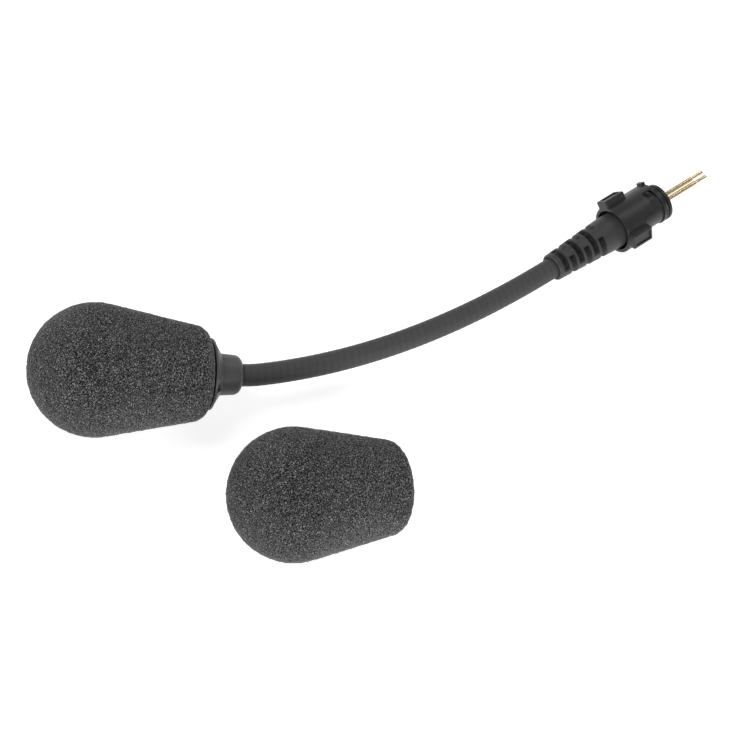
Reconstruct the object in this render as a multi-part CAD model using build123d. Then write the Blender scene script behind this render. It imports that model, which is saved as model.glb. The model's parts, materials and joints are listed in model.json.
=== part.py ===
from build123d import *
import os
from math import asin, cos, radians, sin

# Detachable gooseneck boom microphone with a plug-in bayonet connector, lying on a bench,
# and the spare windscreen beside it. Millimetres, +Z up. The origin is the centre of the
# connector spigot's front face and +X is the way the connector leaves its socket.

# connector spigot
spigot_r = 5.3
seal_land_height = 0.4
spigot_bore_r = 2.9
spigot_lip = 0.9
seal_groove_depth = 1.15
seal_groove_width = 1.2
relief_groove_depth = 0.55
relief_groove_width = 0.6
key_width = 3.4
key_height = 0.7
key_length = 4.2
key_angle = 15
shoulder_height = 0.8
shoulder_width = 1.0
shoulder_back = 12.6
barrel_back = 16.6
shank_wall = 1.05
shank_back = 19.3
seal_cord_r = 0.54
seal_seat_gap = 0.01

# contacts
contact_r = 0.78
contact_tip_r = 0.6
contact_length = 18.8
contact_tip_length = 4.5
contact_spacing = 1.8
contact_angle = 85
contact_tail_r = 0.42
contact_tail_back = 13.6
carrier_r = 3.7
carrier_length = 10.5

# locking collar
collar_mouth_gap = 1.4
collar_wall = 0.7
collar_front = 3.0
collar_back = 18.9
collar_web_width = 1.5
collar_skirt_gap = 1.0
wing_height = 1.9
wing_width = 4.6
wing_length = 7.3
wing_count = 3
grip_pocket_depth = 0.35
grip_pocket_border = 0.8
root_groove_depth = 0.3
root_groove_width = 0.35
lug_height = 0.7
lug_width = 2.6
lug_length = 1.2
lug_angles = (-60, 180)
collar_notch_depth = 4.3
collar_notch_half_angle = 26
collar_notch_angles = (0, -120)
collar_step_depth = 8.8
collar_step_angles = (26, 150)
collar_rounding = 0.3
wing_rounding = 0.4
spring_wire = 0.5
circlip_width = 0.7
circlip_height = 0.6

# strain-relief boot
boot_back = 42.97
boot_small_r = 4.03
boot_large_r = 5.35
boot_straight = 3.0
boot_lip = 0.25
boot_slot_levels = 6
boot_slot_first = 2.6
boot_slot_pitch = 2.74
boot_slot_width = 1.9
boot_slot_floor_r = 3.35
boot_slot_half_angle = 70
boot_slot_turn = -8

# gooseneck
neck_length = 102.0
neck_joints = 8
neck_turn = 23.17
neck_turn_bias = 0.36
head_turn = 8.63
sleeve_r = 3.1
core_r = 2.6
core_bore_r = 1.5
lead_r = 1.15
bend_per_joint = 15
core_tail = 23.0
sleeve_tail = 17.0
ferrule_wall = 1.25
ferrule_length = 6.0

# microphone head, measured from the end of the gooseneck towards the ball
housing_tip_r = 5.45
housing_root_r = 5.75
housing_neck_length = 6.0
housing_shoulder = 2.1
flange_r = 9.75
flange_thickness = 0.6
flange_place = 8.65
cone_root_step = 0.15
notch_width = 4.3
notch_floor_step = 0.35
notch_angle = -45
head_socket_depth = 2.5
head_ferrule_length = 2.4
cup_r = 6.6
cup_floor = 6.9
barrel_r = 7.6
barrel_wall = 0.8
barrel_length = 19.9
board_place = 13.0
board_thickness = 1.0
board_lead_share = 0.75
capsule_r = 4.85
capsule_length = 7.0
capsule_place = 17.5
capsule_port_r = 1.2
seat_length = 9.5
seat_port_r = 2.4
felt_thickness = 0.4
grille_thickness = 1.0
grille_hole_r = 0.55
grille_rings = ((6, 2.1), (12, 4.2))

# foam windscreens
foam_r = 18.15
foam_taper = 11.0
foam_length = 30.5
foam_edge_r = 4.0
foam_cavity_depth = 22.4
ball_place = 39.83
spare_place = (-151.7, -17.8)
spare_heading = -24.0

# clearances
running = 0.05
seating = 0.05
foam_gap = 0.3
axial_gap = 0.1

seal_land_r = spigot_r + seal_land_height
seal_groove_floor_r = seal_land_r - seal_groove_depth
shoulder_r = spigot_r + shoulder_height
circlip_r = spigot_r + circlip_height
collar_mouth_r = spigot_r + collar_mouth_gap
collar_skirt_r = boot_large_r + collar_skirt_gap
collar_r = max(collar_mouth_r, collar_skirt_r) + collar_wall
wing_reach = collar_r + wing_height
lug_reach = collar_r + lug_height
ferrule_r = core_r + seating + ferrule_wall
shank_r = spigot_bore_r + shank_wall
boot_bore_r = max(shank_r, ferrule_r) + seating
floor_z = -wing_reach
joint_pitch = neck_length / neck_joints
joint_gap = 2 * sleeve_r * sin(radians(bend_per_joint / 2)) + axial_gap


def heading(s):
    """Angle turned by the gooseneck at arc length s from the boot, tighter towards the head."""
    gentle = neck_length - joint_pitch / 2
    u = min(max(s, 0.0), gentle) / gentle
    last = min(max(s - gentle, 0.0) / (joint_pitch / 2), 1.0)
    return radians(neck_turn * (u + neck_turn_bias * (u * u - u)) + head_turn * last)


def flat_station(s, steps=240):
    """Distance along and across the plug axis at arc length s, by the midpoint rule."""
    step = s / steps
    along = sum(cos(heading((i + 0.5) * step)) for i in range(steps)) * step
    across = sum(sin(heading((i + 0.5) * step)) for i in range(steps)) * step
    return along, across


# the bend plane leans up until the worn foam ball rests on the same surface as the collar
end_along, end_across = flat_station(neck_length)
ball_across = end_across + ball_place * sin(heading(neck_length))
lean = asin((foam_r + floor_z) / ball_across)
sideways = Vector(0, cos(lean), sin(lean))
bend_axis = Vector(0, sin(lean), -cos(lean))


def station(s):
    """Point on the gooseneck's centreline at arc length s."""
    along, across = flat_station(s)
    return Vector(-boot_back - along, 0, 0) + sideways * across


def direction(s):
    """Unit tangent at arc length s, pointing to the microphone head."""
    return Vector(-cos(heading(s)), 0, 0) + sideways * sin(heading(s))


def axis_plane(origin, along):
    """Plane whose normal lies along an axis, with its x direction as near to up as it can be."""
    up = Vector(0, 0, 1) - along * along.Z
    return Plane(origin=origin, x_dir=up, z_dir=along)


plug = axis_plane(Vector(0, 0, 0), Vector(1, 0, 0))
head = axis_plane(station(neck_length), direction(neck_length))
worn = axis_plane(head.origin + head.z_dir * ball_place, head.z_dir * -1)
spare_axis = Vector(
    cos(radians(spare_heading)) * cos(radians(foam_taper)),
    sin(radians(spare_heading)) * cos(radians(foam_taper)),
    -sin(radians(foam_taper)),
)
spare = axis_plane(Vector(*spare_place, foam_r + floor_z), spare_axis)


def turned(*outline):
    """Solid of revolution about Z from (radius, height) corners."""
    return revolve(make_face(Plane.XZ * Polyline(*outline, close=True)), Axis.Z)


def ring(inner, outer, low, high):
    """Straight tube, or a disc when inner is 0."""
    return turned((inner, low), (outer, low), (outer, high), (inner, high))


def sector(inner, outer, low, high, centre, half):
    """Part of a ring spanning an angle either side of its centre angle."""
    face = make_face(Plane.XZ * Polyline(
        (inner, low), (outer, low), (outer, high), (inner, high), close=True))
    return Rot(0, 0, centre - half) * revolve(face, Axis.Z, revolution_arc=2 * half)


def standing_box(inner, outer, low, high, width, angle, rounding=0.0):
    """Box standing out of a round body, across an angle."""
    block = Box(outer - inner, width, high - low)
    if rounding:
        block = fillet(block.edges(), rounding)
    return Rot(0, 0, angle) * Pos((inner + outer) / 2, 0, (low + high) / 2) * block


def bent_tube(start, stop, outer, inner):
    """Tube that follows the gooseneck's centreline between two arc lengths."""
    path = ThreePointArc(station(start), station((start + stop) / 2), station(stop))
    section = Circle(outer) - Circle(inner) if inner else Circle(outer)
    return sweep(Plane(origin=path @ 0, z_dir=path % 0) * section, path=path)


def plug_body():
    groove_back = spigot_lip + seal_groove_width
    relief_front = groove_back + spigot_lip
    relief_back = relief_front + relief_groove_width
    relief_floor_r = seal_land_r - relief_groove_depth
    body = turned(
        (spigot_bore_r, -shank_back), (shank_r, -shank_back), (shank_r, -barrel_back),
        (spigot_r, -barrel_back), (spigot_r, -shoulder_back),
        (shoulder_r, -shoulder_back), (shoulder_r, shoulder_width - shoulder_back),
        (spigot_r, shoulder_width - shoulder_back), (spigot_r, -relief_back),
        (relief_floor_r, -relief_back), (relief_floor_r, -relief_front),
        (seal_land_r, -relief_front), (seal_land_r, -groove_back),
        (seal_groove_floor_r, -groove_back), (seal_groove_floor_r, -spigot_lip),
        (seal_land_r, -spigot_lip), (seal_land_r, 0),
        (carrier_r + seating, 0), (carrier_r + seating, -carrier_length),
        (spigot_bore_r, -carrier_length))
    key = standing_box(spigot_r - key_height, spigot_r + key_height,
                       -relief_back - key_length, -relief_back, key_width, key_angle)
    circlip_seat = ring(spigot_r - key_height, spigot_r + key_height,
                        -circlip_back(), circlip_width - circlip_back())
    return body + key - circlip_seat


def web_back():
    return shoulder_back + spring_wire + 2 * axial_gap + collar_web_width


def circlip_back():
    return web_back() + axial_gap + circlip_width


def contact_holes(radius, low, high):
    """The two contact positions, as rods or as the holes for them."""
    rods = [Rot(0, 0, contact_angle + turn) * Pos(contact_spacing / 2, 0, 0)
            * ring(0, radius, low, high) for turn in (0, 180)]
    return rods


def contact_pin(index):
    step = contact_length - contact_tip_length
    round_off = contact_tip_r / 2
    pin = turned(
        (0, -contact_tail_back), (contact_tail_r, -contact_tail_back),
        (contact_tail_r, -carrier_length), (contact_r, -carrier_length),
        (contact_r, step - round_off), (contact_tip_r, step),
        (contact_tip_r, contact_length - round_off),
        (contact_tip_r - round_off, contact_length), (0, contact_length))
    return Rot(0, 0, contact_angle + 180 * index) * Pos(contact_spacing / 2, 0, 0) * pin


def contact_carrier():
    body = ring(0, carrier_r, axial_gap - carrier_length, -spigot_lip / 2)
    for hole in contact_holes(contact_r + seating, -carrier_length, 0):
        body -= hole
    return body


def spigot_seal():
    centre = seal_groove_floor_r + seal_cord_r + seal_seat_gap
    place = Pos(0, 0, -spigot_lip - seal_groove_width / 2)
    return place * Torus(centre, seal_cord_r)


def locking_collar():
    web_front = web_back() - collar_web_width
    body = turned(
        (collar_skirt_r, -collar_back), (collar_r, -collar_back), (collar_r, -collar_front),
        (collar_mouth_r, -collar_front), (collar_mouth_r, -web_front),
        (spigot_r + running, -web_front), (spigot_r + running, -web_back()),
        (collar_skirt_r, -web_back()))
    circles = body.edges().filter_by(GeomType.CIRCLE)
    rims = [edge for edge in circles if edge.radius > collar_r - collar_rounding]
    body = fillet(rims, collar_rounding)
    for i in range(wing_count):
        angle = 180 + 360 / wing_count * i
        wing_low, wing_high = -collar_back, wing_length - collar_back
        body -= standing_box(collar_r - root_groove_depth, wing_reach, wing_low, wing_high,
                             wing_width + 2 * root_groove_width, angle)
        body += standing_box(collar_skirt_r + seating, wing_reach, wing_low, wing_high,
                             wing_width, angle, wing_rounding)
        body -= standing_box(wing_reach - grip_pocket_depth, wing_reach + 1,
                             wing_low + grip_pocket_border, wing_high - grip_pocket_border,
                             wing_width - 2 * grip_pocket_border, angle)
    for angle in lug_angles:
        body += standing_box(collar_mouth_r + seating, lug_reach, -collar_front - lug_length,
                             -collar_front, lug_width, angle)
    for angle in collar_notch_angles:
        body -= sector(spigot_r, lug_reach, -collar_front - collar_notch_depth, 0,
                       angle, collar_notch_half_angle)
    step_start, step_stop = collar_step_angles
    return body - sector(spigot_r, lug_reach, -collar_front - collar_step_depth, 0,
                         (step_start + step_stop) / 2, (step_stop - step_start) / 2)


def collar_spring():
    """Flat wave spring between the spigot's shoulder and the collar's web."""
    back = shoulder_back + axial_gap + spring_wire
    return ring(spigot_r + running, shoulder_r, -back, spring_wire - back)


def collar_circlip():
    floor = spigot_r - key_height + seating
    whole = ring(floor, circlip_r, -circlip_back() + seating,
                 circlip_width - circlip_back() - seating)
    return whole - standing_box(0, circlip_r + 1, -circlip_back(), 0, key_width, 90)


def strain_relief_boot():
    front = barrel_back + axial_gap
    body = turned(
        (sleeve_r + seating, -boot_back), (boot_small_r - boot_lip, -boot_back),
        (boot_small_r, boot_lip - boot_back), (boot_large_r, -collar_back - boot_straight),
        (boot_large_r, -front), (boot_bore_r, -front),
        (boot_bore_r, -shank_back - ferrule_length - axial_gap),
        (sleeve_r + seating, -shank_back - ferrule_length - axial_gap))
    for level in range(boot_slot_levels):
        middle = boot_slot_first + boot_slot_pitch * level - boot_back
        turn = boot_slot_turn + 90 * (level % 2)
        for side in (0, 180):
            body -= sector(boot_slot_floor_r, collar_r, middle - boot_slot_width / 2,
                           middle + boot_slot_width / 2, turn + side, boot_slot_half_angle)
    return body


def plug_ferrule():
    """Crimp that holds the gooseneck's core to the connector's shank."""
    return ring(core_r + seating, ferrule_r, -shank_back - ferrule_length, -shank_back)


def neck_piece(index, outer, inner, plug_tail, head_tail):
    """One length of the gooseneck, cut back at each joint and let in at both ends."""
    first, last = index == 0, index == neck_joints
    start = 0.0 if first else (index - 0.5) * joint_pitch + joint_gap / 2
    stop = neck_length if last else (index + 0.5) * joint_pitch - joint_gap / 2
    piece = bent_tube(start, stop, outer, inner)
    if first:
        piece += plug * ring(inner, outer, -boot_back, plug_tail - boot_back)
    if last:
        piece += head * ring(inner, outer, 0, head_tail)
    return piece


def head_housing():
    """Rounded neck that widens through a cone to a thin flange, with a notch across the cone."""
    rim_low, rim_high = flange_place - flange_thickness / 2, flange_place + flange_thickness / 2
    halfway = radians(90 / 2)
    arc_start = (housing_tip_r - housing_shoulder, 0)
    arc_middle = (arc_start[0] + housing_shoulder * sin(halfway),
                  housing_shoulder * (1 - cos(halfway)))
    arc_end = (housing_tip_r, housing_shoulder)
    outline = [
        Line((0, 0), arc_start),
        ThreePointArc(arc_start, arc_middle, arc_end),
        Polyline(arc_end, (housing_root_r, housing_neck_length),
                 (housing_root_r + cone_root_step, housing_neck_length),
                 (flange_r - cone_root_step, rim_low), (flange_r, rim_low),
                 (flange_r, rim_high), (0, rim_high), (0, 0)),
    ]
    body = revolve(make_face(Plane.XZ * Curve(outline)), Axis.Z)
    body -= standing_box(housing_root_r + notch_floor_step, flange_r + 1, housing_neck_length,
                         rim_low, notch_width, notch_angle)
    body -= ring(0, sleeve_r + seating, 0, head_socket_depth + head_ferrule_length)
    body -= ring(0, core_bore_r, 0, cup_floor)
    return body - ring(0, cup_r, cup_floor, rim_high)


def head_ferrule():
    low = head_socket_depth + axial_gap
    return ring(core_r + seating, sleeve_r, low, low + head_ferrule_length - 2 * axial_gap)


def capsule_barrel():
    seat = flange_place + flange_thickness / 2
    inner = barrel_r - barrel_wall
    skirt = cup_r - seating
    return turned(
        (skirt - barrel_wall, cup_floor + axial_gap), (skirt, cup_floor + axial_gap),
        (skirt, seat), (barrel_r, seat), (barrel_r, seat + barrel_length),
        (inner, seat + barrel_length), (inner, board_place), (skirt - barrel_wall, board_place))


def capsule_board():
    inner = barrel_r - barrel_wall - seating
    board = ring(0, inner, board_place, board_place + board_thickness)
    return board - Pos(inner * board_lead_share, 0, board_place) * ring(0, lead_r, -1, 2)


def mic_capsule():
    top = capsule_place + capsule_length
    can = ring(0, capsule_r, capsule_place, top)
    sound_port = ring(0, capsule_port_r, top - capsule_port_r, top)
    return can - sound_port


def capsule_seat():
    low = capsule_place - board_thickness
    tube = ring(capsule_r + seating, barrel_r - barrel_wall - seating, low, low + seat_length)
    floor = ring(seat_port_r, capsule_r + 2 * seating, low, capsule_place - seating)
    return tube + floor


def acoustic_felt():
    low = capsule_place - board_thickness + seat_length + axial_gap
    return ring(0, barrel_r - barrel_wall - seating, low, low + felt_thickness)


def front_grille():
    low = flange_place + flange_thickness / 2 + barrel_length
    cap = ring(0, barrel_r, low, low + grille_thickness)
    cap += ring(barrel_r - 2 * barrel_wall, barrel_r - barrel_wall - seating,
                low - grille_thickness, low)
    cap -= ring(0, grille_hole_r, low, low + grille_thickness)
    for count, radius in grille_rings:
        for place in PolarLocations(radius, count):
            cap -= place * ring(0, grille_hole_r, low, low + grille_thickness)
    return cap


def windscreen():
    """Foam ball on a cone tangent to it, from the ball's centre towards the open mouth."""
    slope = radians(foam_taper)
    edge_z = foam_length - foam_edge_r
    edge_r = (foam_r - foam_edge_r - edge_z * sin(slope)) / cos(slope)
    cavity_r = barrel_r + foam_gap
    tangent = (foam_r * cos(slope), foam_r * sin(slope))
    rim = (edge_r + foam_edge_r * cos(slope), edge_z + foam_edge_r * sin(slope))
    rim_turn = radians(90 + foam_taper) / 2
    rim_point = (edge_r + foam_edge_r * cos(rim_turn), edge_z + foam_edge_r * sin(rim_turn))
    ball_turn = radians(90 - foam_taper) / 2
    ball_point = (foam_r * cos(ball_turn), -foam_r * sin(ball_turn))
    outline = [
        ThreePointArc((0, -foam_r), ball_point, tangent),
        Line(tangent, rim),
        ThreePointArc(rim, rim_point, (edge_r, foam_length)),
        Line((edge_r, foam_length), (cavity_r, foam_length)),
        Line((cavity_r, foam_length), (cavity_r, foam_length - foam_cavity_depth)),
        Line((cavity_r, foam_length - foam_cavity_depth), (0, foam_length - foam_cavity_depth)),
        Line((0, foam_length - foam_cavity_depth), (0, -foam_r)),
    ]
    return revolve(make_face(Plane.XZ * Curve(outline)), Axis.Z)


pieces = {
    "plug_body": plug * plug_body(),
    "contact_carrier": plug * contact_carrier(),
    "contact_pin_live": plug * contact_pin(0),
    "contact_pin_return": plug * contact_pin(1),
    "spigot_seal": plug * spigot_seal(),
    "locking_collar": plug * locking_collar(),
    "collar_spring": plug * collar_spring(),
    "collar_circlip": plug * collar_circlip(),
    "strain_relief_boot": plug * strain_relief_boot(),
    "plug_ferrule": plug * plug_ferrule(),
    "head_housing": head * head_housing(),
    "head_ferrule": head * head_ferrule(),
    "capsule_barrel": head * capsule_barrel(),
    "capsule_board": head * capsule_board(),
    "mic_capsule": head * mic_capsule(),
    "capsule_seat": head * capsule_seat(),
    "acoustic_felt": head * acoustic_felt(),
    "front_grille": head * front_grille(),
    "windscreen_worn": worn * windscreen(),
    "windscreen_spare": spare * windscreen(),
}
for i in range(neck_joints + 1):
    number = i + 1
    pieces[f"neck_sleeve_{number}"] = neck_piece(i, sleeve_r, core_r, sleeve_tail, head_socket_depth)
    pieces[f"neck_core_{number}"] = neck_piece(
        i, core_r, core_bore_r, core_tail, head_socket_depth + head_ferrule_length)
    pieces[f"neck_lead_{number}"] = neck_piece(
        i, lead_r, 0, boot_back - contact_tail_back - axial_gap, board_place - axial_gap)

os.makedirs("parts", exist_ok=True)
for name, shape in pieces.items():
    export_step(shape, f"parts/{name}.step")
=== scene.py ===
import json
import bpy
import numpy as np
from math import cos, pi, radians, sin
from mathutils import Matrix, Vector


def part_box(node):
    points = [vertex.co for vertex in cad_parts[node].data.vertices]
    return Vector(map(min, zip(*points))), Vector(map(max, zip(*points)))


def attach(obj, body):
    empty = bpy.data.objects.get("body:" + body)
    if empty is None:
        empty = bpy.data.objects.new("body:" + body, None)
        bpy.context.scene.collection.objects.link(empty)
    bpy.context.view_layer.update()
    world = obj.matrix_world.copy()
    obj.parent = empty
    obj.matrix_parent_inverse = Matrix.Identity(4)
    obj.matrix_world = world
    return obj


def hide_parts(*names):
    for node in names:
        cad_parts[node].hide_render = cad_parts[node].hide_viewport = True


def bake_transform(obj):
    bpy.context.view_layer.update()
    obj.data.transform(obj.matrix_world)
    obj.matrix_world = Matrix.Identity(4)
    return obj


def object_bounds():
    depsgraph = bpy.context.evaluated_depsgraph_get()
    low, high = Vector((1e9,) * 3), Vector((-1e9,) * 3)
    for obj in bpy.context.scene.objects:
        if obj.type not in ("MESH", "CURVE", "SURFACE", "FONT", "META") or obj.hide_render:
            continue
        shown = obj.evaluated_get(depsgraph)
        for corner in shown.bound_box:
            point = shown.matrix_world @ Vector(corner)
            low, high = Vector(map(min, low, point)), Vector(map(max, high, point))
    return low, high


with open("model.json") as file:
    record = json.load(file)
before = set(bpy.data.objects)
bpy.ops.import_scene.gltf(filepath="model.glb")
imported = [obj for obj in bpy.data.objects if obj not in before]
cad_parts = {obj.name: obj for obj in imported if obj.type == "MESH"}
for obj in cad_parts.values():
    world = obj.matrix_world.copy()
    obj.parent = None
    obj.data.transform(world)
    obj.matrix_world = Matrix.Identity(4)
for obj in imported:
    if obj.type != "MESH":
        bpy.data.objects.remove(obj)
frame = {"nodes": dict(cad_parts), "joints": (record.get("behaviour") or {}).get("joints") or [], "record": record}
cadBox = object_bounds()
joints = {joint["name"]: joint for joint in frame["joints"]}
mounts = {mount["name"]: mount for mount in frame["record"]["mounts"]}
print("frame loaded,", len(frame["nodes"]), "nodes")


def unit(vector):
    vector = np.asarray(vector, float)
    return vector / np.linalg.norm(vector)


def smoothStep(value):
    value = np.clip(value, 0, 1)
    return value * value * (3 - 2 * value)


def axisFrame(along):
    # two directions across an axis: the first as near to up as it can be, the second at right angles
    up = unit(np.array([0, 0, 1.0]) - along * along[2])
    return up, np.cross(along, up)


def latticeNoise(points, cell, seed):
    # value noise: random numbers on a cubic lattice, blended smoothly between its eight corners
    table = np.random.default_rng(seed).uniform(-1, 1, 4096)
    scaled = points / cell
    corner = np.floor(scaled).astype(np.int64)
    part = smoothStep(scaled - corner)
    total = np.zeros(points.shape[:-1])
    for offset in np.ndindex(2, 2, 2):
        place = corner + offset
        key = place[..., 0] * 73856093 ^ place[..., 1] * 19349663 ^ place[..., 2] * 83492791
        weight = np.prod(np.where(offset, part, 1 - part), axis=-1)
        total += table[key % 4096] * weight
    return total


def surfaceMesh(name, points, poles=False, loop=False, depth=None):
    # mesh over a grid of points: rows run along the piece and columns close round it
    # With poles, the first and last rows shrink to a point; with loop, the last row joins the first
    rows, columns = points.shape[:2]
    index = np.arange(rows * columns).reshape(rows, columns)
    lower, upper = (index, np.roll(index, -1, axis=0)) if loop else (index[:-1], index[1:])
    quads = np.stack([lower, np.roll(lower, -1, axis=1), np.roll(upper, -1, axis=1), upper], -1)
    quads = quads.reshape(-1, 4)
    vertices = points.reshape(-1, 3)
    fans = np.zeros((0, 3), int)
    if poles:
        first, last = rows * columns, rows * columns + 1
        vertices = np.vstack([vertices, points[0].mean(0), points[-1].mean(0)])
        around = np.roll(index, -1, axis=1)
        start = np.stack([np.full(columns, first), around[0], index[0]], -1)
        stop = np.stack([np.full(columns, last), index[-1], around[-1]], -1)
        fans = np.vstack([start, stop])
    centred = vertices - vertices.mean(0)
    a, b, c, d = (centred[quads[:, k]] for k in range(4))
    volume = np.sum(a * np.cross(b, c)) + np.sum(a * np.cross(c, d))
    if volume < 0:
        quads, fans = quads[:, ::-1], fans[:, ::-1]
    mesh = bpy.data.meshes.new(name)
    mesh.from_pydata(vertices, [], quads.tolist() + fans.tolist())
    mesh.polygons.foreach_set("use_smooth", np.ones(len(mesh.polygons), bool))
    # the depth grid is kept on the points as the mask for painted shade in the grooves
    if depth is not None:
        layer = mesh.attributes.new("grooveDepth", "FLOAT", "POINT")
        layer.data.foreach_set("value", depth.reshape(-1).astype(np.float32))
    mesh.update()
    piece = bpy.data.objects.new(name, mesh)
    bpy.context.scene.collection.objects.link(piece)
    return piece


def revolved(radius, height, turns, origin, along):
    # points of a profile (radius, height) carried round an axis
    across, side = axisFrame(along)
    ring = np.cos(turns)[:, None] * across + np.sin(turns)[:, None] * side
    if radius.ndim == 1:
        radius = radius[:, None]
    return origin + height[:, None, None] * along + radius[..., None] * ring


def arc(centre, radius, start, stop, spacing):
    # points on a circular arc in the (radius, height) plane, angles from the radius axis
    count = max(2, int(abs(stop - start) * radius / spacing))
    angle = np.linspace(start, stop, count)
    return np.stack([centre[0] + radius * np.cos(angle), centre[1] + radius * np.sin(angle)], -1)


def line(start, stop, spacing):
    count = max(2, int(np.hypot(stop[0] - start[0], stop[1] - start[1]) / spacing))
    share = np.linspace(0, 1, count)[:, None]
    return np.asarray(start) * (1 - share) + np.asarray(stop) * share


def joined(*stretches):
    # stretches of a profile end to end, without the doubled points
    return np.vstack([stretches[0]] + [stretch[1:] for stretch in stretches[1:]])


def newGroup(name, inputs, outputs):
    group = bpy.data.node_groups.new(name, "ShaderNodeTree")
    for label, kind, value in inputs:
        socket = group.interface.new_socket(label, in_out="INPUT", socket_type=kind)
        socket.default_value = value
    for label, kind in outputs:
        group.interface.new_socket(label, in_out="OUTPUT", socket_type=kind)
    return group, group.nodes.new("NodeGroupInput"), group.nodes.new("NodeGroupOutput")


def addNode(tree, kind, **values):
    node = tree.nodes.new(kind)
    for key, value in values.items():
        if key.startswith("_"):
            node.inputs[key[1:].replace("_", " ")].default_value = value
        else:
            setattr(node, key, value)
    return node


def mathNode(tree, operation, first, second=None, clamp=False):
    node = addNode(tree, "ShaderNodeMath", operation=operation, use_clamp=clamp)
    for socket, value in zip(node.inputs, (first, second)):
        if value is None:
            continue
        if isinstance(value, (int, float)):
            socket.default_value = value
        else:
            tree.links.new(value, socket)
    return node.outputs[0]


def spread(tree, value, low, high, start, stop):
    # value between low and high carried smoothly to start and stop
    node = addNode(tree, "ShaderNodeMapRange", interpolation_type="SMOOTHSTEP",
                   _From_Min=low, _From_Max=high, _To_Min=start, _To_Max=stop)
    tree.links.new(value, node.inputs["Value"])
    return node.outputs["Result"]


def mouldGrainGroup():
    # fine spark-eroded grain of moulded plastic, with slow uneven patches
    group, given, result = newGroup(
        "mouldGrain",
        [("Grain Scale", "NodeSocketFloat", 9000.0), ("Patch Scale", "NodeSocketFloat", 160.0)],
        [("Grain", "NodeSocketFloat"), ("Patches", "NodeSocketFloat")])
    place = addNode(group, "ShaderNodeTexCoord")
    grain = addNode(group, "ShaderNodeTexNoise", _Detail=3.0, _Roughness=0.62)
    patches = addNode(group, "ShaderNodeTexNoise", _Detail=2.0, _Roughness=0.5)
    for texture, scale in ((grain, "Grain Scale"), (patches, "Patch Scale")):
        group.links.new(place.outputs["Object"], texture.inputs["Vector"])
        group.links.new(given.outputs[scale], texture.inputs["Scale"])
    group.links.new(grain.outputs["Fac"], result.inputs["Grain"])
    group.links.new(patches.outputs["Fac"], result.inputs["Patches"])
    return group


def handlingDustGroup():
    # sparse pale specks of dust and lint, thicker in slow patches
    group, given, result = newGroup(
        "handlingDust",
        [("Speck Scale", "NodeSocketFloat", 2600.0), ("Amount", "NodeSocketFloat", 0.3)],
        [("Dust", "NodeSocketFloat")])
    place = addNode(group, "ShaderNodeTexCoord")
    specks = addNode(group, "ShaderNodeTexVoronoi", feature="F1")
    patches = addNode(group, "ShaderNodeTexNoise", _Scale=120.0, _Detail=2.0)
    group.links.new(place.outputs["Object"], specks.inputs["Vector"])
    group.links.new(place.outputs["Object"], patches.inputs["Vector"])
    group.links.new(given.outputs["Speck Scale"], specks.inputs["Scale"])
    near = mathNode(group, "LESS_THAN", specks.outputs["Distance"], 0.12)
    thick = mathNode(group, "MULTIPLY", patches.outputs["Fac"], given.outputs["Amount"])
    group.links.new(mathNode(group, "MULTIPLY", near, thick, True), result.inputs["Dust"])
    return group


def openCellGroup():
    # open-cell foam: a strut mask on the walls between Voronoi cells, broken up by fine noise,
    # the pores between them painted black as shade, and painted glints on the strut tips where the noise is
    # strongest
    group, given, result = newGroup(
        "openCell",
        [("Cell Scale", "NodeSocketFloat", 1400.0), ("Tip Scale", "NodeSocketFloat", 2300.0)],
        [("Struts", "NodeSocketFloat"), ("Glints", "NodeSocketFloat"), ("Height", "NodeSocketFloat")])
    place = addNode(group, "ShaderNodeTexCoord")
    warp = addNode(group, "ShaderNodeTexNoise", _Scale=1100.0, _Detail=1.0)
    shift = addNode(group, "ShaderNodeVectorMath", operation="MULTIPLY_ADD")
    shift.inputs[1].default_value = (0.0007, 0.0007, 0.0007)
    cells = addNode(group, "ShaderNodeTexVoronoi", feature="DISTANCE_TO_EDGE")
    tips = addNode(group, "ShaderNodeTexNoise", _Detail=3.0, _Roughness=0.75)
    group.links.new(place.outputs["Object"], warp.inputs["Vector"])
    group.links.new(warp.outputs["Color"], shift.inputs[0])
    group.links.new(place.outputs["Object"], shift.inputs[2])
    group.links.new(shift.outputs[0], cells.inputs["Vector"])
    group.links.new(given.outputs["Cell Scale"], cells.inputs["Scale"])
    group.links.new(place.outputs["Object"], tips.inputs["Vector"])
    group.links.new(given.outputs["Tip Scale"], tips.inputs["Scale"])
    strut = spread(group, cells.outputs["Distance"], 0.02, 0.22, 1.0, 0.0)
    grit = spread(group, tips.outputs["Fac"], 0.44, 0.58, 0.0, 1.0)
    lit = mathNode(group, "MULTIPLY", mathNode(group, "ADD", strut, 0.35), grit)
    glint = spread(group, tips.outputs["Fac"], 0.58, 0.66, 0.0, 1.0)
    group.links.new(lit, result.inputs["Struts"])
    group.links.new(glint, result.inputs["Glints"])
    group.links.new(lit, result.inputs["Height"])
    return group


grainGroup = mouldGrainGroup()
dustGroup = handlingDustGroup()
cellGroup = openCellGroup()


def startMaterial(name):
    material = bpy.data.materials.new(name)
    material.use_nodes = True
    tree = material.node_tree
    return material, tree, tree.nodes["Principled BSDF"]


def placeGroup(tree, group, **values):
    node = tree.nodes.new("ShaderNodeGroup")
    node.node_tree = group
    for key, value in values.items():
        node.inputs[key.replace("_", " ")].default_value = value
    return node


def colourMix(tree, share, first, second):
    # mix of two colours by a share; the first is a colour or another node's output
    mix = addNode(tree, "ShaderNodeMix", data_type="RGBA")
    socketShare, socketFirst, socketSecond = (mix.inputs[k] for k in (0, 6, 7))
    tree.links.new(share, socketShare)
    if isinstance(first, tuple):
        socketFirst.default_value = (*first, 1)
    else:
        tree.links.new(first, socketFirst)
    socketSecond.default_value = (*second, 1)
    return mix.outputs[2]


def valueBetween(tree, share, low, high):
    remap = addNode(tree, "ShaderNodeMapRange", _To_Min=low, _To_Max=high)
    tree.links.new(share, remap.inputs["Value"])
    return remap.outputs["Result"]


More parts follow.
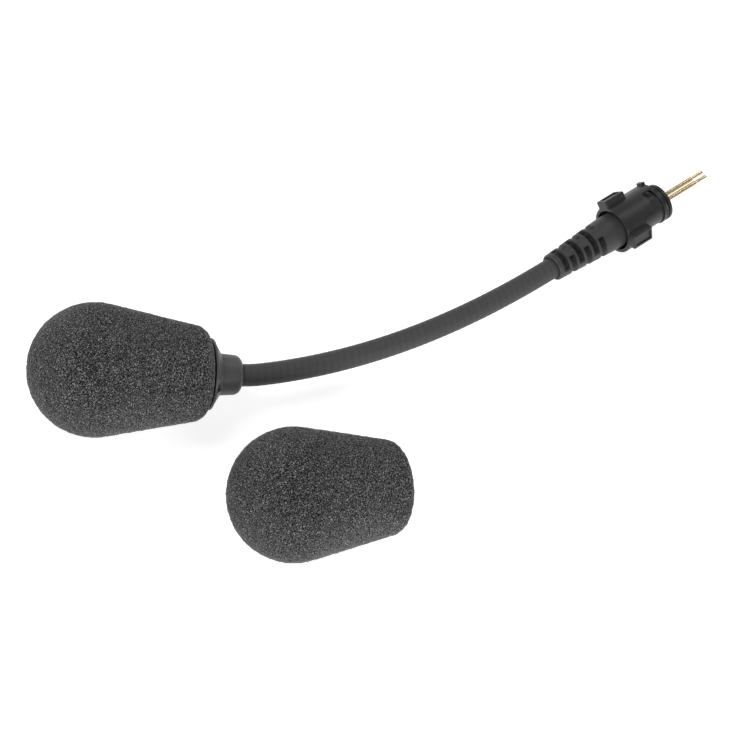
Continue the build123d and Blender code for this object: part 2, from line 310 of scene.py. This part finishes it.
def bumped(tree, shader, height, distance, strength=1.0):
    bump = addNode(tree, "ShaderNodeBump", _Strength=strength, _Distance=distance)
    tree.links.new(height, bump.inputs["Height"])
    tree.links.new(bump.outputs["Normal"], shader.inputs["Normal"])


dustColour = (0.32, 0.31, 0.30)


def mouldedMaterial(name, look):
    # grained plastic, rubber or metal: two close shades, patchy gloss, fine bump and a little dust;
    # the shade is worked out from the fine grain and the slow patches together
    material, tree, shader = startMaterial(name)
    grain = placeGroup(tree, grainGroup, Grain_Scale=look["grain"], Patch_Scale=look["patches"])
    dust = placeGroup(tree, dustGroup, Amount=look["dust"])
    shade = mathNode(tree, "MULTIPLY", grain.outputs["Grain"], 0.6)
    mixed = mathNode(tree, "ADD", shade, mathNode(tree, "MULTIPLY", grain.outputs["Patches"], 0.4))
    base = colourMix(tree, mixed, look["dark"], look["light"])
    shaded = colourMix(tree, dust.outputs["Dust"], base, dustColour)
    if "grooveShade" in look:      # painted shade in the cut grooves, mixed in by the groove mask where shadow falls
        depth = addNode(tree, "ShaderNodeAttribute", attribute_name="grooveDepth")
        shaded = colourMix(tree, depth.outputs["Fac"], shaded, look["grooveShade"])
    tree.links.new(shaded, shader.inputs["Base Color"])
    rough = valueBetween(tree, grain.outputs["Patches"], *look["rough"])
    tree.links.new(rough, shader.inputs["Roughness"])
    shader.inputs["Metallic"].default_value = look.get("metal", 0.0)
    shader.inputs["Specular IOR Level"].default_value = look.get("gloss", 0.4)
    bumped(tree, shader, grain.outputs["Grain"], look["bump"])
    return material


def foamMaterial(name, look):
    # charcoal open-cell foam with pores painted black as shade, painted glints on the strut tips and a painted
    # sheen that lightens the rim
    material, tree, shader = startMaterial(name)
    cells = placeGroup(tree, cellGroup, Cell_Scale=look["cells"], Tip_Scale=look["tips"])
    # pores painted black: painted shade in the holes between the struts
    base = colourMix(tree, cells.outputs["Struts"], look["poreShade"], look["strut"])
    # near-white painted glints on the strut tips
    lit = colourMix(tree, cells.outputs["Glints"], base, look["tipGlint"])
    # the rim lightened towards edge-on: painted sheen
    facing = addNode(tree, "ShaderNodeLayerWeight", _Blend=0.5)
    rim = mathNode(tree, "POWER", facing.outputs["Facing"], look["rimSharpness"])
    sheenedRim = colourMix(tree, rim, lit, look["rimSheen"])
    tree.links.new(sheenedRim, shader.inputs["Base Color"])
    shader.inputs["Roughness"].default_value = look["rough"]
    shader.inputs["Specular IOR Level"].default_value = look["gloss"]
    shader.inputs["Sheen Weight"].default_value = look["sheen"]
    shader.inputs["Sheen Roughness"].default_value = look["sheenRough"]
    bumped(tree, shader, cells.outputs["Height"], look["bump"])
    return material


looks = {
    "moulded": {"dark": (0.012, 0.012, 0.0125), "light": (0.026, 0.026, 0.027), "rough": (0.30, 0.46),
                "grain": 5200.0, "patches": 210.0, "bump": 0.00003, "dust": 0.08, "gloss": 0.4},
    "housing": {"dark": (0.048, 0.048, 0.049), "light": (0.074, 0.074, 0.075), "rough": (0.38, 0.52),
                "grain": 4600.0, "patches": 230.0, "bump": 0.00003, "dust": 0.08, "gloss": 0.35},
    "boot": {"dark": (0.026, 0.026, 0.027), "light": (0.046, 0.046, 0.047), "rough": (0.42, 0.58),
             "grain": 4200.0, "patches": 180.0, "bump": 0.00004, "dust": 0.14, "gloss": 0.4,
             # near-black painted shade on the floors of the slots
             "grooveShade": (0.002, 0.002, 0.002)},
    "sleeve": {"dark": (0.042, 0.042, 0.043), "light": (0.062, 0.062, 0.063), "rough": (0.52, 0.66),
               "grain": 3600.0, "patches": 220.0, "bump": 0.00004, "dust": 0.10, "gloss": 0.3,
               # painted shade in the dips between the ribs
               "grooveShade": (0.045, 0.045, 0.046)},
    "insulator": {"dark": (0.010, 0.010, 0.011), "light": (0.020, 0.020, 0.021), "rough": (0.42, 0.6),
                  "grain": 6000.0, "patches": 300.0, "bump": 0.00002, "dust": 0.05},
    "seal": {"dark": (0.006, 0.006, 0.006), "light": (0.014, 0.014, 0.014), "rough": (0.3, 0.45),
             "grain": 5000.0, "patches": 300.0, "bump": 0.00002, "dust": 0.04},
    "lead": {"dark": (0.05, 0.05, 0.05), "light": (0.09, 0.09, 0.09), "rough": (0.5, 0.65),
             "grain": 4200.0, "patches": 240.0, "bump": 0.00003, "dust": 0.05},
    "steel": {"dark": (0.42, 0.42, 0.43), "light": (0.62, 0.62, 0.63), "rough": (0.24, 0.4),
              "grain": 3000.0, "patches": 400.0, "bump": 0.00002, "dust": 0.04, "metal": 1.0},
    "gold": {"dark": (0.90, 0.72, 0.46), "light": (1.0, 0.86, 0.62), "rough": (0.12, 0.20),
             "grain": 2400.0, "patches": 500.0, "bump": 0.0000005, "dust": 0.0, "metal": 1.0},
    "can": {"dark": (0.66, 0.66, 0.67), "light": (0.82, 0.82, 0.82), "rough": (0.22, 0.36),
            "grain": 3500.0, "patches": 300.0, "bump": 0.00001, "dust": 0.03, "metal": 1.0},
    "board": {"dark": (0.02, 0.11, 0.05), "light": (0.04, 0.20, 0.09), "rough": (0.35, 0.5),
              "grain": 2600.0, "patches": 350.0, "bump": 0.00002, "dust": 0.03},
    "felt": {"dark": (0.012, 0.012, 0.012), "light": (0.05, 0.05, 0.05), "rough": (0.85, 0.98),
             "grain": 5200.0, "patches": 300.0, "bump": 0.0001, "dust": 0.05},
}
finishes = {name: mouldedMaterial(name + "Finish", look) for name, look in looks.items()}
finishes["foam"] = foamMaterial("foamFinish", {
    # black painted shade in the pores, near-white painted glints on the strut tips, grey painted sheen on the rim
    "poreShade": (0.0, 0.0, 0.0), "strut": (0.105, 0.105, 0.107), "tipGlint": (0.80, 0.80, 0.805),
    "rimSheen": (0.30, 0.30, 0.305), "rimSharpness": 7.0, "cells": 2400.0, "tips": 3000.0,
    "rough": 0.95, "gloss": 0.15, "sheen": 0.22, "sheenRough": 0.3, "bump": 0.0003})
print("materials ready,", len(finishes))

slotFinish = {
    "moulded_black": "moulded", "boot_rubber": "boot", "sleeve_black": "sleeve",
    "foam_charcoal": "foam", "spring_steel": "steel", "contact_gold": "gold",
    "insulator_black": "insulator", "seal_rubber": "seal", "lead_jacket": "lead",
    "capsule_can": "can", "board_green": "board", "felt": "felt",
}
for part in frame["record"]["subparts"]:
    node = frame["nodes"][part["node"]]
    node.data.materials.clear()
    own = "housing" if part["node"] == "head_housing" else slotFinish[part["material_slot"]]
    node.data.materials.append(finishes[own])
print("CAD nodes finished")


def ballOf(node):
    # centre and radius of a windscreen's ball, which reaches furthest along -X, +Y and up
    low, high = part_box(node)
    radius = (high.z - low.z) / 2
    return np.array([low.x + radius, high.y - radius, (low.z + high.z) / 2]), radius


socketMount = mounts["spare_windscreen_socket"]
foam = {
    "taper": radians(11.0),       # half angle of the cone that is tangent to the ball
    "edge": 0.004,                # rounding of the mouth's outer edge
    "lip": 0.0006,                # rounding of the socket's mouth
    "socket": socketMount["dims"]["r_mm"] / 1000,
    "depth": socketMount["dims"]["length_mm"] / 1000,
    "columns": 330,
    "spacing": 0.00034,
    "inside": 0.0009,             # coarser spacing inside the socket
    "floorHole": 1 / 60,          # share of the socket's radius left for the pole to close
    "pits": ((0.0011, 0.00010), (0.00052, 0.00011)),   # cell size and depth of the surface noise
    "seed": 11,
    "sink": 0.9,                  # the noise lies between this far in and just under the surface
    "socketFrom": 0.8,            # share of the profile where the socket, which is smoother, begins
    "socketCalm": 0.6,
    "calmRows": 20,
}


def foamPoints(centre, radius, along, length):
    # ball, tangent cone, rounded mouth and straight socket, turned round the axis;
    # lattice noise pushes each point along its outward normal
    slope, edge, lip = foam["taper"], foam["edge"], foam["lip"]
    edgeHeight = length - edge
    edgeRadius = (radius - edge - edgeHeight * sin(slope)) / cos(slope)
    rimRadius = foam["socket"] + lip
    floorHeight = length - foam["depth"]
    coneStart = (radius * cos(slope), radius * sin(slope))
    coneStop = (edgeRadius + edge * cos(slope), edgeHeight + edge * sin(slope))
    fine, coarse = foam["spacing"], foam["inside"]
    profile = joined(
        arc((0, 0), radius, radians(-89.0), slope, fine),
        line(coneStart, coneStop, fine),
        arc((edgeRadius, edgeHeight), edge, slope, pi / 2, fine),
        line((edgeRadius, length), (rimRadius, length), fine),
        arc((rimRadius, length - lip), lip, pi / 2, pi, fine),
        line((foam["socket"], length - lip), (foam["socket"], floorHeight), coarse),
        line((foam["socket"], floorHeight), (foam["socket"] * foam["floorHole"], floorHeight), coarse))
    turns = np.linspace(0, 2 * pi, foam["columns"], endpoint=False)
    points = revolved(profile[:, 0], profile[:, 1], turns, centre, along)
    step = np.gradient(profile, axis=0)
    outward = np.stack([step[:, 1], -step[:, 0]], -1)
    outward /= np.linalg.norm(outward, axis=1, keepdims=True)
    across, side = axisFrame(along)
    ring = np.cos(turns)[:, None] * across + np.sin(turns)[:, None] * side
    normals = outward[:, 0, None, None] * ring + outward[:, 1, None, None] * along
    push = sum(depth * (latticeNoise(points, cell, seed) - foam["sink"])
               for seed, (cell, depth) in enumerate(foam["pits"], foam["seed"]))
    pastMouth = np.arange(len(profile)) - len(profile) * foam["socketFrom"]
    insideSocket = smoothStep(pastMouth / foam["calmRows"])
    push = push * (1 - foam["socketCalm"] * insideSocket)[:, None]
    return points + push[..., None] * normals


def makeWindscreen(name, node, body, along, length):
    centre, radius = ballOf(node)
    piece = surfaceMesh(name, foamPoints(centre, radius, along, length), poles=True)
    piece.data.materials.append(finishes["foam"])
    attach(piece, body)
    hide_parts(node)


headAxis = unit(joints["windscreen_pull_off"]["axis"])
spareAxis = unit(socketMount["axis"])
spareCentre = ballOf("windscreen_spare")[0]
foamLength = float(np.linalg.norm(np.array(socketMount["pos_m"]) - spareCentre))
makeWindscreen("foamWindscreen", "windscreen_worn", "windscreen", -headAxis, foamLength)
makeWindscreen("spareFoamWindscreen", "windscreen_spare", "spare_windscreen", spareAxis, foamLength)
print("windscreens made")


sleeve = {
    "radius": 0.00308,
    "bore": 0.00266,
    "ribs": 6,               # turns of the wound core under each joint pitch
    "ribDepth": 0.00004,
    "ribSharpness": 5.0,     # higher is a narrower dip
    "rows": 96,              # for one joint pitch
    "columns": 72,
    "letIn": 0.0015,         # how far it reaches into the boot and the housing
}

swings = [joint for name, joint in joints.items() if name.startswith("neck_swing")]
lifts = [joint for name, joint in joints.items() if name.startswith("neck_lift")]
hinges = sorted(swings + lifts, key=lambda joint: -joint["pos_m"][0])       # from plug to head
bendNormal = unit(swings[0]["axis"])
sideways = np.cross(np.array([1.0, 0, 0]), bendNormal) * -1
sideways = unit(sideways * np.sign(sideways[1]))
hingePoints = np.array([hinge["pos_m"] for hinge in hinges])
jointPitch = float(np.mean(np.linalg.norm(np.diff(hingePoints, axis=0), axis=1)))
neckLength = jointPitch * len(hinges)
neckStart = np.array([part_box("strain_relief_boot")[0].x, 0, 0])

# the heading along the neck is a parabola through what the lift hinges' axes give; over the last
# half pitch it turns evenly to the head's own heading
liftPlaces = [hinges.index(lift) * jointPitch + jointPitch / 2 for lift in lifts]
liftHeadings = [np.arcsin(-unit(lift["axis"])[0]) for lift in lifts]
headingCurve = np.polyfit([0.0] + liftPlaces, [0.0] + liftHeadings, 2)
headHeading = float(np.arccos(-headAxis[0] / np.hypot(headAxis[0], headAxis @ sideways)))
lastHinge = neckLength - jointPitch / 2

fineSteps = 2400
fineS = np.linspace(0, neckLength, fineSteps + 1)
middle = (fineS[1:] + fineS[:-1]) / 2


def headingAt(s):
    gentle = np.polyval(headingCurve, np.clip(s, 0, lastHinge))
    share = np.clip((s - lastHinge) / (jointPitch / 2), 0, 1)
    return np.where(s < 0, 0, gentle + share * (headHeading - gentle))


stepLength = neckLength / fineSteps
alongSum = np.concatenate([[0], np.cumsum(np.cos(headingAt(middle)) * stepLength)])
acrossSum = np.concatenate([[0], np.cumsum(np.sin(headingAt(middle)) * stepLength)])


def neckPlaces(s):
    # centre and tangent of the gooseneck at arc lengths s, straight past both ends
    tangent = -np.cos(headingAt(s))[:, None] * np.array([1.0, 0, 0])
    tangent = tangent + np.sin(headingAt(s))[:, None] * sideways
    inside = np.clip(s, 0, neckLength)
    centre = neckStart - np.interp(inside, fineS, alongSum)[:, None] * np.array([1.0, 0, 0])
    centre = centre + np.interp(inside, fineS, acrossSum)[:, None] * sideways
    return centre + (s - inside)[:, None] * tangent, tangent


def sleevePoints(start, stop):
    # tube along the neck, its radius dipping in a helix between the turns of the core
    rows = int(sleeve["rows"] * (stop - start) / jointPitch)
    s = np.linspace(start, stop, rows)
    turns = np.linspace(0, 2 * pi, sleeve["columns"], endpoint=False)
    centre, tangent = neckPlaces(s)
    side = np.cross(tangent, bendNormal)
    phase = 2 * pi * sleeve["ribs"] * s[:, None] / jointPitch + turns
    dip = (0.5 + 0.5 * np.cos(phase)) ** sleeve["ribSharpness"]
    radius = sleeve["radius"] - sleeve["ribDepth"] * dip
    # mask of the rib dips, for painted shade in the grooves
    shade = np.vstack([dip, np.zeros((3, len(turns)))])
    ring = (np.cos(turns)[None, :, None] * bendNormal
            + np.sin(turns)[None, :, None] * side[:, None, :])
    outer = centre[:, None, :] + radius[..., None] * ring
    inner = (centre[:, None, :] + sleeve["bore"] * ring)[::-1][[0, rows // 2, -1]]
    return np.concatenate([outer, inner]), shade


for i in range(len(hinges)):
    start = i * jointPitch - (sleeve["letIn"] if i == 0 else 0)
    stop = (i + 1) * jointPitch + (sleeve["letIn"] if i == len(hinges) - 1 else 0)
    points, shade = sleevePoints(start, stop)
    piece = surfaceMesh(f"neckSleeve{i + 1}", points, loop=True, depth=shade)
    piece.data.materials.append(finishes["sleeve"])
    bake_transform(piece)
    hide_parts(f"neck_sleeve_{i + 1}", *(["neck_sleeve_9"] if i == len(hinges) - 1 else []))
print("gooseneck sleeve made")


boot = {
    "smallRadius": 0.00403,
    "largeRadius": 0.00535,
    "bore": 0.00315,
    "straight": 0.0030,           # straight stretch behind the collar
    "lip": 0.0004,                # rounding of the small end
    "levels": 6,
    "firstSlot": 0.0026,
    "slotPitch": 0.00274,
    "slotWidth": 0.0019,
    "slotFloor": 0.00335,
    "slotHalfAngle": radians(70),
    "slotTurn": radians(-8),
    "softness": 0.00022,          # how gently a slot's edges roll over
    "rows": 330,
    "columns": 200,
}


def bootPoints():
    # tapered tube whose radius drops to the slot floor inside each slot, with rolled edges
    low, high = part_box("strain_relief_boot")
    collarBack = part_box("locking_collar")[0].x
    x = np.linspace(high.x, low.x + boot["lip"], boot["rows"])
    share = np.clip((collarBack - boot["straight"] - x) / (collarBack - boot["straight"] - low.x), 0, 1)
    outer = boot["largeRadius"] + (boot["smallRadius"] - boot["largeRadius"]) * share
    turns = np.linspace(0, 2 * pi, boot["columns"], endpoint=False)
    cut = np.zeros((len(x), len(turns)))
    for level in range(boot["levels"]):
        middle = low.x + boot["firstSlot"] + boot["slotPitch"] * level
        centre = boot["slotTurn"] + pi / 2 * (level % 2)
        across = (boot["slotWidth"] / 2 - np.abs(x - middle)) / boot["softness"] + 0.5
        away = np.abs((turns - centre + pi / 2) % pi - pi / 2)
        around = (boot["slotHalfAngle"] - away) * outer.mean() / boot["softness"] + 0.5
        cut = np.maximum(cut, smoothStep(across)[:, None] * smoothStep(around)[None, :])
    radius = outer[:, None] - (outer - boot["slotFloor"])[:, None] * cut
    roll = np.linspace(0, pi / 2, 7)[1:]
    rollRadius = boot["smallRadius"] - boot["lip"] * (1 - np.cos(roll))
    rollX = low.x + boot["lip"] * (1 - np.sin(roll))
    endRadius = np.concatenate([rollRadius, [boot["bore"], boot["bore"], boot["bore"]]])
    endX = np.concatenate([rollX, [low.x, (low.x + high.x) / 2, high.x]])
    radius = np.vstack([radius, np.repeat(endRadius[:, None], len(turns), axis=1)])
    x = np.concatenate([x, endX])
    # mask of the slots, for painted shade on their floors
    shade = np.vstack([cut * cut, np.zeros((len(endX), len(turns)))])
    return revolved(radius, x, turns, np.zeros(3), np.array([1.0, 0, 0])), shade


points, shade = bootPoints()
piece = surfaceMesh("strainReliefBoot", points, loop=True, depth=shade)
piece.data.materials.append(finishes["boot"])
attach(piece, "plug")
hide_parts("strain_relief_boot")
print("boot made")


view = {
    "azimuth": radians(-59.863), "elevation": radians(62.763), "roll": radians(25.315),
    "distance": 0.5654, "aim": np.array([-0.1088, 0.0041, 0.0]), "lens": 100.0, "sensor": 36.0,
}


def viewAxes():
    # right, up and back of the camera, turned by its roll
    a, e, r = view["azimuth"], view["elevation"], view["roll"]
    back = np.array([sin(a) * cos(e), -cos(a) * cos(e), sin(e)])
    level = np.array([cos(a), sin(a), 0])
    up = np.cross(back, level)
    return cos(r) * level + sin(r) * up, cos(r) * up - sin(r) * level, back


def placeOf(right, up, back, origin):
    matrix = np.eye(4)
    matrix[:3, 0], matrix[:3, 1], matrix[:3, 2], matrix[:3, 3] = right, up, back, origin
    return [list(row) for row in matrix]


right, up, back = viewAxes()
cameraData = bpy.data.cameras.new("camera")
cameraData.lens, cameraData.sensor_width = view["lens"], view["sensor"]
camera = bpy.data.objects.new("camera", cameraData)
bpy.context.scene.collection.objects.link(camera)
camera.matrix_world = Matrix(placeOf(right, up, back, view["aim"] + back * view["distance"]))
bpy.context.scene.camera = camera


floorGap = 0.00005
floorHalf = 3.0


def addFloor():
    low, half = cadBox[0].z - floorGap, floorHalf
    corners = [(-half, -half, low), (half, -half, low), (half, half, low), (-half, half, low)]
    mesh = bpy.data.meshes.new("floor")
    mesh.from_pydata(corners, [], [(0, 1, 2, 3)])
    floor = bpy.data.objects.new("floor", mesh)
    bpy.context.scene.collection.objects.link(floor)
    material, tree, shader = startMaterial("paleFloor")
    shader.inputs["Base Color"].default_value = (0.5, 0.5, 0.5, 1)
    shader.inputs["Roughness"].default_value = 0.9
    shader.inputs["Specular IOR Level"].default_value = 0.0
    shader.inputs["Emission Color"].default_value = (1, 1, 1, 1)
    shader.inputs["Emission Strength"].default_value = 0.8
    floor.data.materials.append(material)


def addArea(name, offset, size, power):
    light = bpy.data.lights.new(name, "AREA")
    light.shape, light.size, light.energy = "DISK", size, power
    lamp = bpy.data.objects.new(name, light)
    bpy.context.scene.collection.objects.link(lamp)
    away = unit(offset)
    across, side = axisFrame(away)
    lamp.matrix_world = Matrix(placeOf(side, -across, away, view["aim"] + np.array(offset)))


def addWorld():
    # pale near the horizon and dim overhead, so that edges catch more light than faces do
    world = bpy.data.worlds.new("world")
    bpy.context.scene.world = world
    world.use_nodes = True
    tree = world.node_tree
    place = addNode(tree, "ShaderNodeTexCoord")
    split = addNode(tree, "ShaderNodeSeparateXYZ")
    tree.links.new(place.outputs["Generated"], split.inputs[0])
    height = spread(tree, split.outputs["Z"], 0.05, 0.6, 0.85, 0.22)
    tree.links.new(height, tree.nodes["Background"].inputs["Strength"])
    tree.nodes["Background"].inputs["Color"].default_value = (1, 1, 1, 1)


addFloor()
addWorld()
for name, offset, size, power in (
        ("keySoftbox", (-0.30, 0.35, 0.85), 0.42, 4.4),
        ("fillSoftbox", (-0.25, -0.80, 0.42), 0.40, 5.0),
        ("rimSoftbox", (0.70, 0.20, 0.55), 0.30, 1.2)):
    addArea(name, offset, size, power)
bpy.context.scene.view_settings.view_transform = "Standard"
print("camera and light ready")
